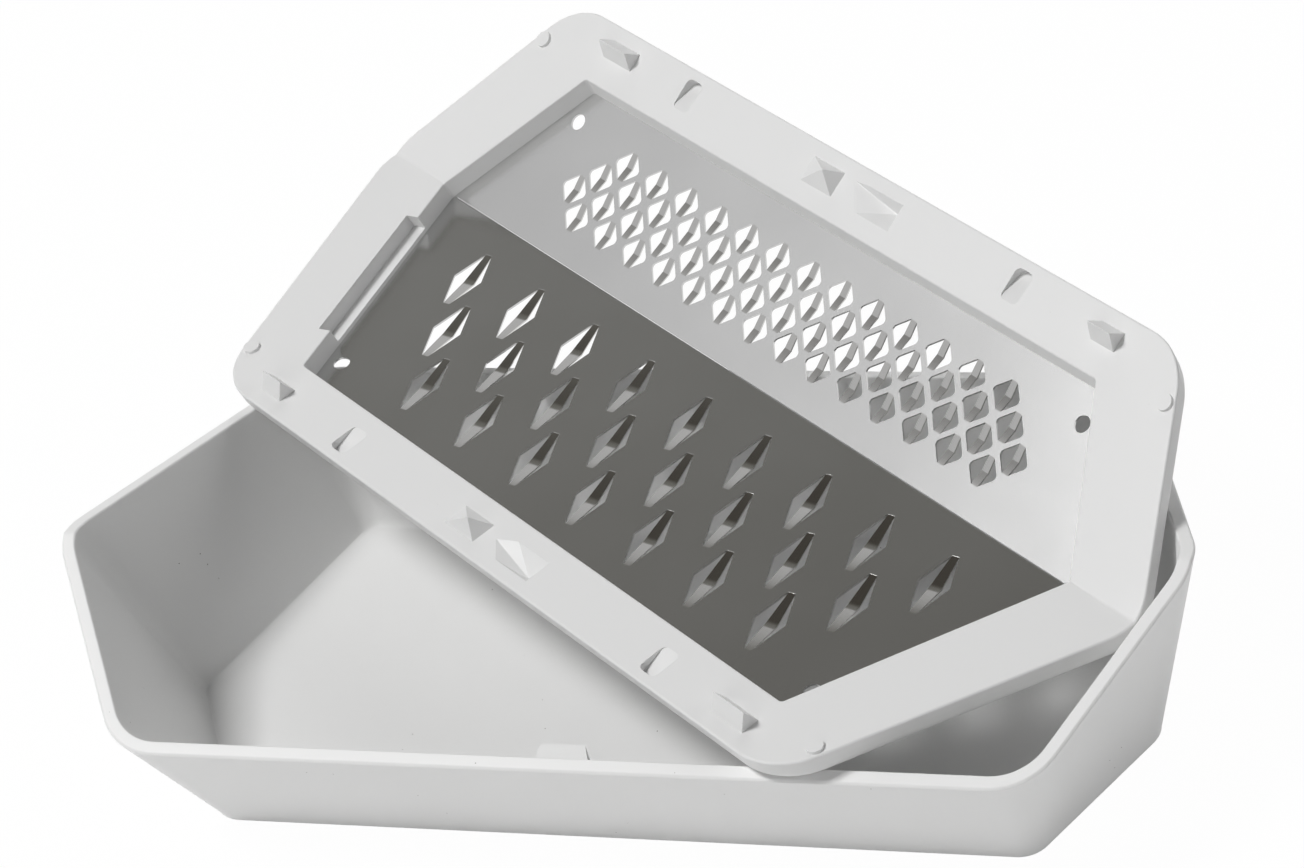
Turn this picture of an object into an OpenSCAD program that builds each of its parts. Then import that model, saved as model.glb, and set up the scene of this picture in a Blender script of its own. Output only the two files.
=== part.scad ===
// Two-sided grater with catch tray. Units are millimetres, +Z is up.
// Origin: on the tray's base plane, under the middle of the peak line.
// The grater part lies askew on the tray's rim, valley side up.

/* [Plan outline] */
// Overall length over the two sharp peak corners
body_l = 250; // [200:1:300]
// Half length of the straight edge on the narrow side
near_x = 98.2; // [80:0.1:120]
// Reach of the narrow side from the peak line
near_y = 48.6; // [35:0.1:60]
// Half length of the straight edge on the wide side
far_x = 95.4; // [80:0.1:120]
// Reach of the wide side from the peak line
far_y = 70.4; // [50:0.1:90]
// Outer corner radius in plan
corner_r = 15; // [8:0.5:20]
// Height of the peak line over the straight edges
peak_h = 15.6; // [8:0.1:25]
// Points in each half of a rounded corner
arc_n = 4; // [2:1:8]

/* [Catch tray] */
// Height of the straight rim edges over the table
rim_h = 36.1; // [25:0.1:60]
// Wall thickness
wall = 3; // [2:0.1:5]
// Floor thickness
floor_t = 3.1; // [2:0.1:5]
// Plan inset of the base from the rim
base_in = 14; // [5:0.1:25]
// Corner radius of the base outline
base_r = 7; // [3:0.5:12]
// Rounding under the base edge
base_round = 1.5; // [0.5:0.1:3]
// Small rounding on the two rim edges
rim_round = 0.5; // [0.2:0.1:1.2]
// Steps in the height of the twisted walls
wall_n = 5; // [2:1:10]
// Length of the little wedge inside the front wall
rest_l = 9.6; // [5:0.1:15]
// Position of the wedge along the front wall
rest_x = -0.4; // [-20:0.1:20]
// How far the wedge stands off the wall
rest_t = 4.8; // [1:0.1:6]
// Height of the wedge
rest_h = 7; // [3:0.1:9]
// How much longer the wedge is where it meets the wall, right end
rest_flare = 2.8; // [0:0.1:4]

/* [Grater frame] */
// How far the frame's outline stands outside the tray's
frame_out = 0.2; // [0:0.1:2]
// Thickness of the frame, measured upright
frame_t = 6.2; // [4:0.1:8]
// Depth of the sheet's face below the frame's face
sheet_drop = 5; // [3:0.1:6]
// Rounding of the frame's lower outer edge
frame_round = 2.6; // [0.5:0.1:4]
// Small rounding of the frame's upper edges
face_round = 0.5; // [0.2:0.1:1.5]
// Width of the frame's flange on the narrow side
flange_near = 13.4; // [10:0.1:18]
// Width of the frame's flange on the wide side
flange_far = 13.9; // [10:0.1:18]
// Width of the frame's ends, along the fold
flange_end = 20.2; // [14:0.1:26]
// How much shorter the opening's narrow-side edge is than the frame's, each end
short_near = 14.5; // [8:0.1:20]
// How much shorter the opening's wide-side edge is than the frame's, each end
short_far = 13; // [8:0.1:20]
// Corner radius of the opening
open_r = 1.2; // [0.8:0.1:3]
// Rebate in the left end wall: start from the fold
rebate_start = 10.7; // [5:0.1:20]
// Rebate in the left end wall: finish short of the wide-side edge
rebate_end = 10.5; // [5:0.1:20]
// How far the rebate is set back
rebate_w = 3; // [1:0.1:5]
// Height of the rebate's ledge over the sheet
rebate_z = 1; // [0.5:0.1:3]

/* [Flange details] */
// Length of a long locating rib
rib_long_l = 9.4; // [5:0.1:12]
// Length of a short locating rib
rib_short_l = 6.6; // [5:0.1:12]
// Long rib's middle from the end of the straight edges
rib_long_end = 17.6; // [14:0.1:26]
// Short rib's middle from the end of the straight edges
rib_short_end = 14.8; // [12:0.1:26]
// Locating rib width at the foot
rib_w = 4.7; // [3:0.1:8]
// How far the rib's ridge leans in from its outer foot
rib_lean = 1.9; // [0:0.1:3]
// Locating rib height
rib_h = 4.4; // [3:0.1:7]
// Rib's outer foot from the narrow side's edge
rib_near_in = 3; // [1:0.1:6]
// Rib's outer foot from the wide side's edge
rib_far_in = 3.6; // [1:0.1:6]
// Wedge recess distance from the middle
dent_x = 53.8; // [40:0.5:65]
// Wedge recess width along the edge
dent_w = 5; // [3:0.1:8]
// Wedge recess length across the edge
dent_l = 7.4; // [4:0.1:9]
// Wedge recess depth
dent_h = 2.5; // [1:0.1:3.5]
// How far a wedge recess sits outward of the pegs' line
dent_out = 0.5; // [0:0.05:2]
// Corner radius of a wedge recess in plan
dent_r = 1.4; // [0.4:0.1:2]
// Distance from the middle of the nearer of a pair: the narrow side's peg, the wide side's socket
near_pair_x = 7.6; // [6:0.1:14]
// Distance from the middle of the farther of a pair: the wide side's peg, the narrow side's socket
far_pair_x = 10.9; // [6:0.1:14]
// Middle peg length along the edge
peg_l = 10.7; // [6:0.1:14]
// Middle peg width across the edge
peg_w = 6.4; // [4:0.1:9]
// How far a peg's top stands to the right of its foot's middle
peg_lean_x = 2.6; // [0:0.1:4]
// How far a peg's top stands outward of its foot's middle
peg_lean_y = 1.1; // [0:0.1:2]
// Middle peg height
peg_h = 4; // [2:0.1:6]
// The pegs' line from the narrow side's edge
mid_near_in = 6.1; // [5:0.1:8]
// The pegs' line from the wide side's edge
mid_far_in = 6.4; // [5:0.1:8]
// Play of the middle socket round the peg
peg_play = 0.4; // [0.2:0.1:1]
// Socket depth
socket_h = 2.8; // [1:0.1:3.5]
// How far a socket's lead-in corner reaches left of its square
lead_l = 5; // [1:0.1:7]
// Lead-in corner outward of the pegs' line, narrow side
lead_near = 2.8; // [-3:0.1:3]
// Lead-in corner outward of the pegs' line, wide side
lead_far = -0.7; // [-3:0.1:3]
// Rest pip's middle from the narrow side's edge
pip_near_in = 10.6; // [8:0.1:15]
// Rest pip's middle from the wide side's edge
pip_far_in = 10.2; // [8:0.1:15]
// Rest pip's middle from the sloping end, along the fold
pip_end = 2.5; // [2.2:0.1:6]
// Rest pip diameter
pip_d = 4; // [2:0.1:6]
// Rest pip height
pip_h = 0.7; // [0.3:0.1:1.5]

/* [Grating sheet] */
// Sheet thickness
sheet_t = 0.5; // [0.3:0.05:1]
// Thickness of the straps, thinned by the punch
strap_t = 0.35; // [0.2:0.01:0.5]
// How far a strap's foot is joined into the sheet
strap_root = 0.4; // [0.2:0.05:1]
// Side play between a strap and the opening's tip
strap_play = 0.08; // [0.02:0.01:0.3]
// How far the sheet runs into the frame
sheet_in = 6; // [3:0.1:10]
// Locating hole diameter
hole_d = 3.8; // [2:0.1:6]
// Locating hole from the end of the opening's narrow-side edge
hole_near_end = 0.5; // [0:0.1:8]
// Locating hole from the opening's narrow-side edge
hole_near_in = 7.1; // [4:0.1:12]
// Locating hole from the end of the opening's wide-side edge
hole_far_end = 1.4; // [0:0.1:8]
// Locating hole from the opening's wide-side edge
hole_far_in = 7; // [4:0.1:12]

/* [Coarse teeth] */
// Pitch along the row
coarse_pitch = 19.74; // [12:0.01:25]
// First row from the fold, along the sheet
coarse_s0 = 15.67; // [8:0.01:20]
// Row spacing, along the sheet
coarse_row = 13.79; // [8:0.01:18]
// Least distance of an opening's middle from the ends of the wide-side edge
coarse_clear_x = 2.8; // [1:0.1:12]
// Least distance of an opening's middle from the wide-side edge, along the sheet
coarse_clear_y = 14; // [9:0.1:20]
// Half length of an opening from tip to tip
coarse_a = 8.45; // [5:0.05:12]
// Half width of an opening
coarse_b = 3.8; // [2:0.05:6]
// Turn of the openings
coarse_turn = 16; // [0:1:30]
// Strap width at the tips
coarse_tip = 1.65; // [0.8:0.05:3]
// Strap width at its folded peak
coarse_peak = 2.8; // [1:0.05:4]
// Drop of the strap's peak below the sheet
coarse_drop = 1.1; // [0.5:0.05:3]

/* [Fine teeth] */
// Pitch along the row
fine_pitch = 10.45; // [6:0.01:15]
// First row from the fold, along the sheet
fine_s0 = 10.96; // [6:0.01:16]
// Row spacing, along the sheet
fine_row = 5.18; // [3:0.01:8]
// Least distance of an opening's middle from the ends of the narrow-side edge
fine_clear_x = 10; // [5:0.1:20]
// Least distance of an opening's middle from the narrow-side edge, along the sheet
fine_clear_y = 9; // [5:0.1:14]
// Half length of an opening, where the strap's edges end
fine_a = 3.46; // [2:0.01:5]
// Corner radius of the openings
fine_r = 1.1; // [0.3:0.05:2]
// Strap width at the tips
fine_tip = 1.7; // [0.8:0.05:3]
// Strap width at its folded peak
fine_peak = 1.9; // [0.8:0.05:3]
// Drop of the strap's peak below the sheet
fine_drop = 0.7; // [0.3:0.05:2]

/* [Placement] */
// Where the fold's middle stands over the tray, x
lay_x = 11.79; // [-30:0.01:60]
// Where the fold's middle stands over the tray, y
lay_y = 60.98; // [20:0.01:90]
// Gap between the grater's underside and the rim where they come nearest
lay_gap = 0.33; // [0.1:0.01:1]
// Turn of the grater about the upright
lay_turn = -34.71; // [-60:0.01:0]
// Tip of the grater along the fold
lay_tip = 0.9; // [-5:0.01:5]
// Tilt of the grater across the fold
lay_tilt = 13.51; // [0:0.01:20]

/* [Hidden] */
eps = 0.01;
peak_x = body_l / 2;
near_tan = peak_h / near_y;
far_tan = peak_h / far_y;
near_deg = atan(near_tan);
far_deg = atan(far_tan);
// How far a form's foot is sunk into the face that carries it, and the width of a knife-edge top
sink = 0.2;
reach = 2 * body_l;
rim_hex = [[peak_x, 0], [far_x, far_y], [-far_x, far_y], [-peak_x, 0], [-near_x, -near_y], [near_x, -near_y]];
open_x = peak_x - flange_end;
open_near_x = near_x - short_near;
open_near_y = near_y - flange_near;
open_far_x = far_x - short_far;
open_far_y = far_y - flange_far;
edge_x = min(near_x, far_x);
open_hex = [[open_x, 0], [open_near_x, open_near_y], [-open_near_x, open_near_y],
    [-open_x, 0], [-open_far_x, -open_far_y], [open_far_x, -open_far_y]];
mid_near = near_y - mid_near_in;
mid_far = far_y - mid_far_in;
// Rows and columns of teeth that the two halves of the opening have room for.
coarse_rows = 1 + floor((open_far_y / cos(far_deg) - coarse_clear_y - coarse_s0) / coarse_row);
coarse_cols = 1 + floor(2 * (open_far_x - coarse_clear_x) / coarse_pitch);
fine_rows = 1 + floor((open_near_y / cos(near_deg) - fine_clear_y - fine_s0) / fine_row);
fine_cols = 1 + floor(2 * (open_near_x - fine_clear_x) / fine_pitch);
fine_q = fine_a + fine_tip / 2;
fine_c = fine_q - fine_r * sqrt(2);

// Outlines are rings of points round six corners, turned anticlockwise.
function unit(v) = v / norm(v);
function inward(a, b) = unit([a[1] - b[1], b[0] - a[0]]);
function edge_n(v, i) = inward(v[(i + 6) % 6], v[(i + 7) % 6]);
function set_in(v, e) = [for (i = [0:5]) let (p = edge_n(v, i - 1), q = edge_n(v, i)) v[i] + e * (p + q) / (1 + p * q)];
plate_hex = set_in([[peak_x, 0], [near_x, near_y], [-near_x, near_y],
    [-peak_x, 0], [-far_x, -far_y], [far_x, -far_y]], -frame_out);
function start_deg(v, i) = let (p = -edge_n(v, i - 1)) atan2(p[1], p[0]);
function sweep_deg(v, i) = let (p = -edge_n(v, i - 1), q = -edge_n(v, i)) acos(min(1, p * q));
// The arc of a peak corner is split where it crosses the fold line.
function split_deg(v, i, r) = let (c = set_in(v, r)[i], a = asin(-c[1] / r)) i == 0 ? a : 180 - a;
function wrap(a) = a < -180 ? a + 360 : a >= 180 ? a - 360 : a;
function mid_turn(v, i, r) = i % 3 == 0 ? abs(wrap(split_deg(v, i, r) - start_deg(v, i))) : sweep_deg(v, i) / 2;
function turns(v, i, r) = let (m = mid_turn(v, i, r), s = sweep_deg(v, i))
    [for (k = [0:2 * arc_n]) start_deg(v, i) + (k <= arc_n ? m * k / arc_n : m + (s - m) * (k / arc_n - 1))];
// A ring with corner radius r, drawn a distance e inside its outline.
function ring(v, r, e) = [for (i = [0:5], c = [set_in(v, r)[i]], a = turns(v, i, r)) c + (r - e) * [cos(a), sin(a)]];
function lift(pts, h) = [for (p = pts) [p[0], p[1], h]];
function rim_z(y) = rim_h + peak_h + (y > 0 ? -y * far_tan : y * near_tan);
function fold_z(y) = y > 0 ? y * near_tan : -y * far_tan;
function on_rim(pts, d) = [for (p = pts) [p[0], p[1], rim_z(p[1]) + d]];
function on_fold(pts, d) = [for (p = pts) [p[0], p[1], fold_z(p[1]) + d]];
function blend(a, b, t) = [for (i = [0:len(a) - 1]) a[i] * (1 - t) + b[i] * t];
// Triangles between neighbouring rings of n points.
function skin(n, k0, k1) = [for (k = [k0:k1], i = [0:n - 1]) let (j = (i + 1) % n)
    each [[k * n + i, k * n + n + i, k * n + j], [k * n + j, k * n + n + i, k * n + n + j]]];
function rounding(r, k, n) = let (a = 90 * k / n) [r * (1 - sin(a)), r * (1 - cos(a))];

// The grater is let down askew until the rim's inner or outer edge is lay_gap short of its underside.
lay_m = [[cos(lay_turn), -sin(lay_turn), 0], [sin(lay_turn), cos(lay_turn), 0], [0, 0, 1]]
    * [[cos(lay_tip), 0, sin(lay_tip)], [0, 1, 0], [-sin(lay_tip), 0, cos(lay_tip)]]
    * [[1, 0, 0], [0, cos(lay_tilt), -sin(lay_tilt)], [0, sin(lay_tilt), cos(lay_tilt)]];
under_n = [lay_m * [0, -near_tan, 1], lay_m * [0, far_tan, 1]];
plate_ring = ring(plate_hex, corner_r, 0);
function depth(p) = min([for (i = [0:len(plate_ring) - 1]) let (a = plate_ring[i], b = plate_ring[(i + 1) % len(plate_ring)])
    norm(b - a) < eps ? reach : inward(a, b) * (p - a)]);
function under_rise(d) = d < frame_round ? frame_round - sqrt(pow(frame_round, 2) - pow(frame_round - d, 2)) : 0;
function rest_z(x, y) = let (p = [x - lay_x, y - lay_y],
    z = max([for (n = under_n) (sheet_drop - frame_t - n[0] * p[0] - n[1] * p[1]) / n[2]]),
    at = [p[0], p[1], z] * lay_m, d = depth([at[0], at[1]])) d < 0 ? 0 : rim_z(y) - z - under_rise(d);
function walked(v) = [for (i = [0:len(v) - 1]) let (a = v[i], b = v[(i + 1) % len(v)], n = ceil(norm(b - a) / wall))
    each [for (k = [0:n - 1]) a + (b - a) * k / n]];
lay_z = lay_gap + max([for (e = [rim_round, wall - rim_round], p = walked(ring(rim_hex, corner_r, e))) rest_z(p[0], p[1])]);

module tray_shell() {
    rim_o = ring(rim_hex, corner_r, 0);
    rim_i = ring(rim_hex, corner_r, wall);
    base_hex = set_in(rim_hex, base_in);
    n = len(rim_o);
    // The rings of the base follow the turns of the rim, so that walls are ruled corner to corner.
    foot = function(e, h) lift([for (i = [0:5], c = [set_in(base_hex, base_r)[i]], a = turns(rim_hex, i, corner_r))
        c + (base_r - e) * [cos(a), sin(a)]], h);
    out_top = on_rim(rim_o, -rim_round);
    in_top = on_rim(rim_i, -rim_round);
    share_o = base_round / rim_h;
    in_foot = foot(wall, floor_t);
    rings = concat(
        [for (k = [0:3]) let (q = rounding(base_round, k, 3)) foot(q[0], q[1])],
        [for (k = [1:wall_n]) blend(foot(0, base_round), out_top, k / wall_n)],
        [on_rim(ring(rim_hex, corner_r, rim_round), 0), on_rim(ring(rim_hex, corner_r, wall - rim_round), 0)],
        [for (k = [wall_n:-1:0]) blend(in_foot, in_top, k / wall_n)]);
    m = len(rings);
    polyhedron(points = [for (r = rings, p = r) p], faces = concat(
        [[for (i = [0:n - 1]) i]],
        skin(n, 0, m - 2),
        [[for (i = [n - 1:-1:0]) (m - 1) * n + i]]), convexity = 6);
}

// A little wedge level with the front rim. Its back stays in the middle of the leaning wall.
module rest_wedge() {
    root = wall / 2;
    back = rest_h * base_in / rim_h;
    translate([rest_x - rest_l / 2, root - near_y, rim_h - rim_round]) intersection() {
        rotate([90, 0, 90])
            linear_extrude(height = rest_l + rest_flare)
                polygon([[0, 0], [root + rest_t, 0], [root + rest_t * 0.8, -rest_h / 2], [back, -rest_h]]);
        translate([0, 0, -2 * rest_h])
            linear_extrude(height = 3 * rest_h)
                polygon([[0, 0], [rest_l + rest_flare, 0], [rest_l + rest_flare, root], [rest_l, root + rest_t],
                    [0, root + rest_t]]);
    }
}

module catch_tray() {
    color([0.84, 0.84, 0.84]) union() {
        tray_shell();
        rest_wedge();
    }
}

// Everything below is drawn in the grater's own frame: fold along x, valley up.
module lay() {
    translate([lay_x, lay_y, lay_z])
        rotate([lay_tilt, lay_tip, lay_turn])
            children();
}

module near_slope(d) {
    rotate([near_deg, 0, 0]) translate([0, 0, d]) children();
}

module far_slope(d) {
    rotate([-far_deg, 0, 0]) translate([0, 0, d]) children();
}

module fold_slab(top, thick) {
    low = top - thick;
    rotate([90, 0, 90])
        linear_extrude(height = reach, center = true)
            polygon([[0, top], [far_y, fold_z(far_y) + top], [far_y, fold_z(far_y) + low], [0, low],
                [-far_y, fold_z(-far_y) + low], [-far_y, fold_z(-far_y) + top]]);
}

module frame_ring() {
    top = sheet_drop;
    low = sheet_drop - frame_t;
    rings = concat(
        [for (k = [0:4]) let (q = rounding(frame_round, k, 4)) on_fold(ring(plate_hex, corner_r, q[0]), low + q[1])],
        [for (k = [0:2]) let (q = rounding(face_round, 2 - k, 2)) on_fold(ring(plate_hex, corner_r, q[0]), top - q[1])],
        [on_fold(ring(open_hex, open_r, -face_round / 2), top), on_fold(ring(open_hex, open_r, 0), top - face_round / 2),
         on_fold(ring(open_hex, open_r, 0), low + face_round / 2),
         on_fold(ring(open_hex, open_r, -face_round / 2), low)]);
    n = len(rings[0]);
    m = len(rings);
    total = m * n;
    polyhedron(points = [for (r = rings, p = r) p],
        faces = [for (f = skin(n, 0, m - 1)) [f[0] % total, f[1] % total, f[2] % total]], convexity = 8);
}

// A rib with a steep outer face and a ramp towards the opening, ridge along x.
module rib(len_x) {
    rotate([90, 0, 90])
        linear_extrude(height = len_x, center = true)
            polygon([[0, -sink], [-rib_lean, rib_h], [-rib_w, -sink]]);
}

// A ramp-shaped recess with rounded corners, deepest at the outer end.
module dent() {
    intersection() {
        rotate([90, 0, 90])
            linear_extrude(height = 2 * dent_w, center = true)
                polygon([[dent_l / 2, rib_h], [dent_l / 2, -dent_h], [-dent_l / 2, 0], [-dent_l / 2, rib_h]]);
        translate([0, 0, -dent_h])
            linear_extrude(height = rib_h + dent_h)
                offset(r = dent_r, $fn = 16) offset(delta = -dent_r) square([dent_w, dent_l], center = true);
    }
}

// A pip stands a set distance inside the sloping end.
function pip_x(edge_x, edge_y, back) = edge_x + (peak_x - edge_x) * back / edge_y - pip_end;

module pip() {
    cylinder(d = pip_d, h = pip_h * 2, center = true, $fn = 24);
}

// A lopsided pyramid with a blunt top. With h below zero it points down.
module peg(l, w, h) {
    foot = h > 0 ? -sink : sink;
    hull() {
        translate([0, 0, foot]) cube([l, w, sink / 4], center = true);
        translate([peg_lean_x, peg_lean_y, h - foot]) cube([2 * sink, sink, sink / 4], center = true);
    }
}

// The form of a peg with play round it, and a fifth corner that leads the peg in.
module socket(lead_y) {
    hull() {
        peg(peg_l + peg_play, peg_w + peg_play, -socket_h);
        translate([-peg_l / 2 - lead_l, lead_y, sink]) cube([sink, sink, sink / 4], center = true);
    }
}

// The children stand square on the frame's face, over the point x, y of the plan.
module face_near(x, y) {
    near_slope(sheet_drop * cos(near_deg))
        translate([x, y / cos(near_deg) + sheet_drop * sin(near_deg), 0]) children();
}

module face_far(x, y) {
    far_slope(sheet_drop * cos(far_deg))
        translate([x, -y / cos(far_deg) - sheet_drop * sin(far_deg), 0]) children();
}

module grater_frame() {
    color([0.86, 0.86, 0.86]) lay() difference() {
        union() {
            frame_ring();
            for (s = [-1, 1]) {
                face_near(s * pip_x(near_x, near_y, pip_near_in), near_y - pip_near_in) pip();
                face_far(s * pip_x(far_x, far_y, pip_far_in), far_y - pip_far_in) pip();
            }
            face_near(rib_long_end - edge_x, near_y - rib_near_in) rib(rib_long_l);
            face_near(edge_x - rib_short_end, near_y - rib_near_in) rib(rib_short_l);
            face_far(edge_x - rib_long_end, far_y - rib_far_in) mirror([0, 1, 0]) rib(rib_long_l);
            face_far(rib_short_end - edge_x, far_y - rib_far_in) mirror([0, 1, 0]) rib(rib_short_l);
            face_near(-near_pair_x, mid_near) peg(peg_l, peg_w, peg_h);
            face_far(-far_pair_x, mid_far) mirror([0, 1, 0]) peg(peg_l, peg_w, peg_h);
        }
        sheet_blank();
        end_rebate();
        for (s = [-1, 1]) {
            face_near(s * dent_x, mid_near + dent_out) dent();
            face_far(s * dent_x, mid_far + dent_out) mirror([0, 1, 0]) dent();
        }
        face_near(far_pair_x, mid_near) socket(lead_near);
        face_far(near_pair_x, mid_far) mirror([0, 1, 0]) socket(lead_far);
    }
}

// The rebate follows the left end wall of the wide side, down to a ledge over the sheet.
module end_rebate() {
    a = open_hex[3];
    b = open_hex[4];
    n = inward(a, b);
    p = a + (b - a) * rebate_start / open_far_y;
    q = b + (a - b) * rebate_end / open_far_y;
    intersection() {
        fold_slab(rebate_z + 4 * frame_t, 4 * frame_t);
        translate([0, 0, -peak_h]) linear_extrude(height = 4 * peak_h)
            polygon([p + n, q + n, q - rebate_w * n, p - rebate_w * n]);
    }
}

module sheet_blank() {
    intersection() {
        fold_slab(0, sheet_t);
        translate([0, 0, -peak_h]) linear_extrude(height = 3 * peak_h) polygon(set_in(open_hex, -sheet_in));
    }
}

module coarse_hole() {
    w = coarse_tip / 2 + strap_play;
    polygon([[w, coarse_a], [-w, coarse_a], [-coarse_b, 0], [-w, -coarse_a], [w, -coarse_a], [coarse_b, 0]]);
}

module fine_hole() {
    w = fine_tip / 2 + strap_play;
    bend = [for (k = [-3:3]) [fine_c + fine_r * cos(15 * k), fine_r * sin(15 * k)]];
    polygon(concat([[-w, -fine_a], [w, -fine_a]], bend, [[w, fine_a], [-w, fine_a]], [for (p = bend) -p]));
}

// A folded strap: it leaves the sheet's edge at one tip, dips to a peak and returns at the other.
module strap(a, tip, peak, drop) {
    end = a + strap_root;
    up = -sheet_t / 10;
    intersection() {
        rotate([90, 0, 90])
            linear_extrude(height = 2 * peak, center = true)
                polygon([[-end, up], [0, -drop], [end, up], [end, up - strap_t], [0, -drop - strap_t], [-end, up - strap_t]]);
        translate([0, 0, -2 * drop - 2 * sheet_t])
            linear_extrude(height = 3 * drop + 3 * sheet_t)
                polygon([[tip / 2, end * 2], [-tip / 2, end * 2], [-tip / 2, a], [-peak / 2, 0], [-tip / 2, -a],
                    [-tip / 2, -end * 2], [tip / 2, -end * 2], [tip / 2, -a], [peak / 2, 0], [tip / 2, a]]);
    }
}

module coarse_grid() {
    for (row = [0:coarse_rows - 1], k = [0:coarse_cols - row - 1])
        translate([(k - (coarse_cols - row - 1) / 2) * coarse_pitch, -coarse_s0 - row * coarse_row, 0])
            rotate([0, 0, coarse_turn])
                children();
}

module fine_grid() {
    // The second row is the longest, and each row away from it is one shorter.
    for (row = [0:fine_rows - 1]) let (n = fine_cols - abs(row - 1))
        for (k = [0:n - 1])
            translate([(k - (n - 1) / 2) * fine_pitch, fine_s0 + row * fine_row, 0])
                children();
}

module grating_sheet() {
    color([0.62, 0.62, 0.61]) lay() union() {
        difference() {
            sheet_blank();
            near_slope(-sheet_t * 2) linear_extrude(height = sheet_t * 3) {
                fine_grid() fine_hole();
                for (s = [-1, 1])
                    translate([s * (open_near_x - hole_near_end), (open_near_y - hole_near_in) / cos(near_deg)])
                        circle(d = hole_d, $fn = 32);
            }
            far_slope(-sheet_t * 2) linear_extrude(height = sheet_t * 3) {
                coarse_grid() coarse_hole();
                for (s = [-1, 1])
                    translate([s * (open_far_x - hole_far_end), (hole_far_in - open_far_y) / cos(far_deg)])
                        circle(d = hole_d, $fn = 32);
            }
        }
        near_slope(0) fine_grid() strap(fine_a, fine_tip, fine_peak, fine_drop);
        far_slope(0) coarse_grid() strap(coarse_a, coarse_tip, coarse_peak, coarse_drop);
    }
}

catch_tray();
grater_frame();
grating_sheet();
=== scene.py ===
# %% [markdown]
# # A two-sided grater on its catch tray
# The object has three real parts: a white tray, a white frame shaped like a shallow roof turned
# upside down, and one bent steel sheet held in the frame. The CAD model gives every size. This
# lesson rebuilds each part with softer edges and finer teeth, and gives it its real finish.

# %% Load the frame
from math import acos, asin, atan2, cos, degrees, radians, sin, sqrt

import bmesh
import bpy
from mathutils import Euler, Matrix, Vector


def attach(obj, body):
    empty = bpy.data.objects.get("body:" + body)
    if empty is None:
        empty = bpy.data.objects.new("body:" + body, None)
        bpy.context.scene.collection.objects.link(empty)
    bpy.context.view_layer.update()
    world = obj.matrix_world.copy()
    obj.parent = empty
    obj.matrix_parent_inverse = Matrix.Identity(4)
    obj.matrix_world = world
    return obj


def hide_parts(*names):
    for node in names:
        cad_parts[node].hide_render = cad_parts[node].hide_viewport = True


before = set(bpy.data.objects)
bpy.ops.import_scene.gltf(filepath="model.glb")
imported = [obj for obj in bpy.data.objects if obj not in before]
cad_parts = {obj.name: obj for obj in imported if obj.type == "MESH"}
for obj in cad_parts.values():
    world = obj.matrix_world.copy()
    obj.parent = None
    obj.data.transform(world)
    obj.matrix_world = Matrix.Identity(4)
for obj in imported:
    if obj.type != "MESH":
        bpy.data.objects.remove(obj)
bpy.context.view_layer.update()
MM = 0.001

# %% [markdown]
# ## The camera
# A long lens from the front right keeps the straight edges straight. The numbers are the place
# and the turn that put the rim's six corners where the photograph has them.

# %% Camera
CAMERA_AT = (0.3396, -0.6175, 0.6649)
CAMERA_TURN = (48.73, 13.42, 15.94)
LENS_MM = 126.4
SENSOR_MM = 36

cam_data = bpy.data.cameras.new("camera")
cam_data.lens = LENS_MM
cam_data.sensor_width = SENSOR_MM
cam_data.sensor_fit = "HORIZONTAL"
cam_data.clip_end = 20
camera = bpy.data.objects.new("camera", cam_data)
bpy.context.collection.objects.link(camera)
camera.location = CAMERA_AT
camera.rotation_euler = [radians(a) for a in CAMERA_TURN]
bpy.context.scene.camera = camera
bpy.context.scene.view_settings.view_transform = "Standard"
print("camera lens in mm:", LENS_MM)

# %% [markdown]
# ## Small helpers for node trees
# Every finish below is a tree of nodes. Four helpers keep it readable: one adds a node and fills
# its sockets, one links outputs to inputs, one makes a colour mix, and one starts a material.

# %% Node helpers
def add_node(tree, kind, at=(0, 0), **values):
    """Add a node. Values that name a socket fill it, others set a property."""
    node = tree.nodes.new(kind)
    node.location = at
    for key, value in values.items():
        name = key.replace("_", " ")
        socket = next((s for s in node.inputs if s.name.lower() == name.lower()), None)
        if socket is not None and not hasattr(node, key):
            socket.default_value = value
        else:
            setattr(node, key, value)
    return node


def wire(tree, *pairs):
    for out, into in pairs:
        tree.links.new(out, into)


def mix_color(tree, at, a=(0, 0, 0), b=(0, 0, 0)):
    """A colour mix. Its sockets share names, so they are handed back as factor, a, b and result."""
    node = add_node(tree, "ShaderNodeMix", at, data_type="RGBA")
    node.inputs[6].default_value, node.inputs[7].default_value = (*a, 1), (*b, 1)
    return node.inputs[0], node.inputs[6], node.inputs[7], node.outputs[2]


def new_material(name):
    mat = bpy.data.materials.new(name)
    mat.use_nodes = True
    return mat, mat.node_tree, mat.node_tree.nodes["Principled BSDF"]


print("node helpers:", [f.__name__ for f in (add_node, wire, mix_color, new_material)])

# %% [markdown]
# ## Shared effects
# Moulded plastic and rolled steel have little in common, but both carry faint handling marks:
# cloudy patches that shine a little less, and a few specks of dust. One group makes both, so each
# material only says how strong they are.

# %% Handling marks group
DUST_PATCHES = 90.0  # how closely the patches lie in which dust may settle
DUST_RARE = 0.62  # the larger, the fewer of those patches have any


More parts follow.
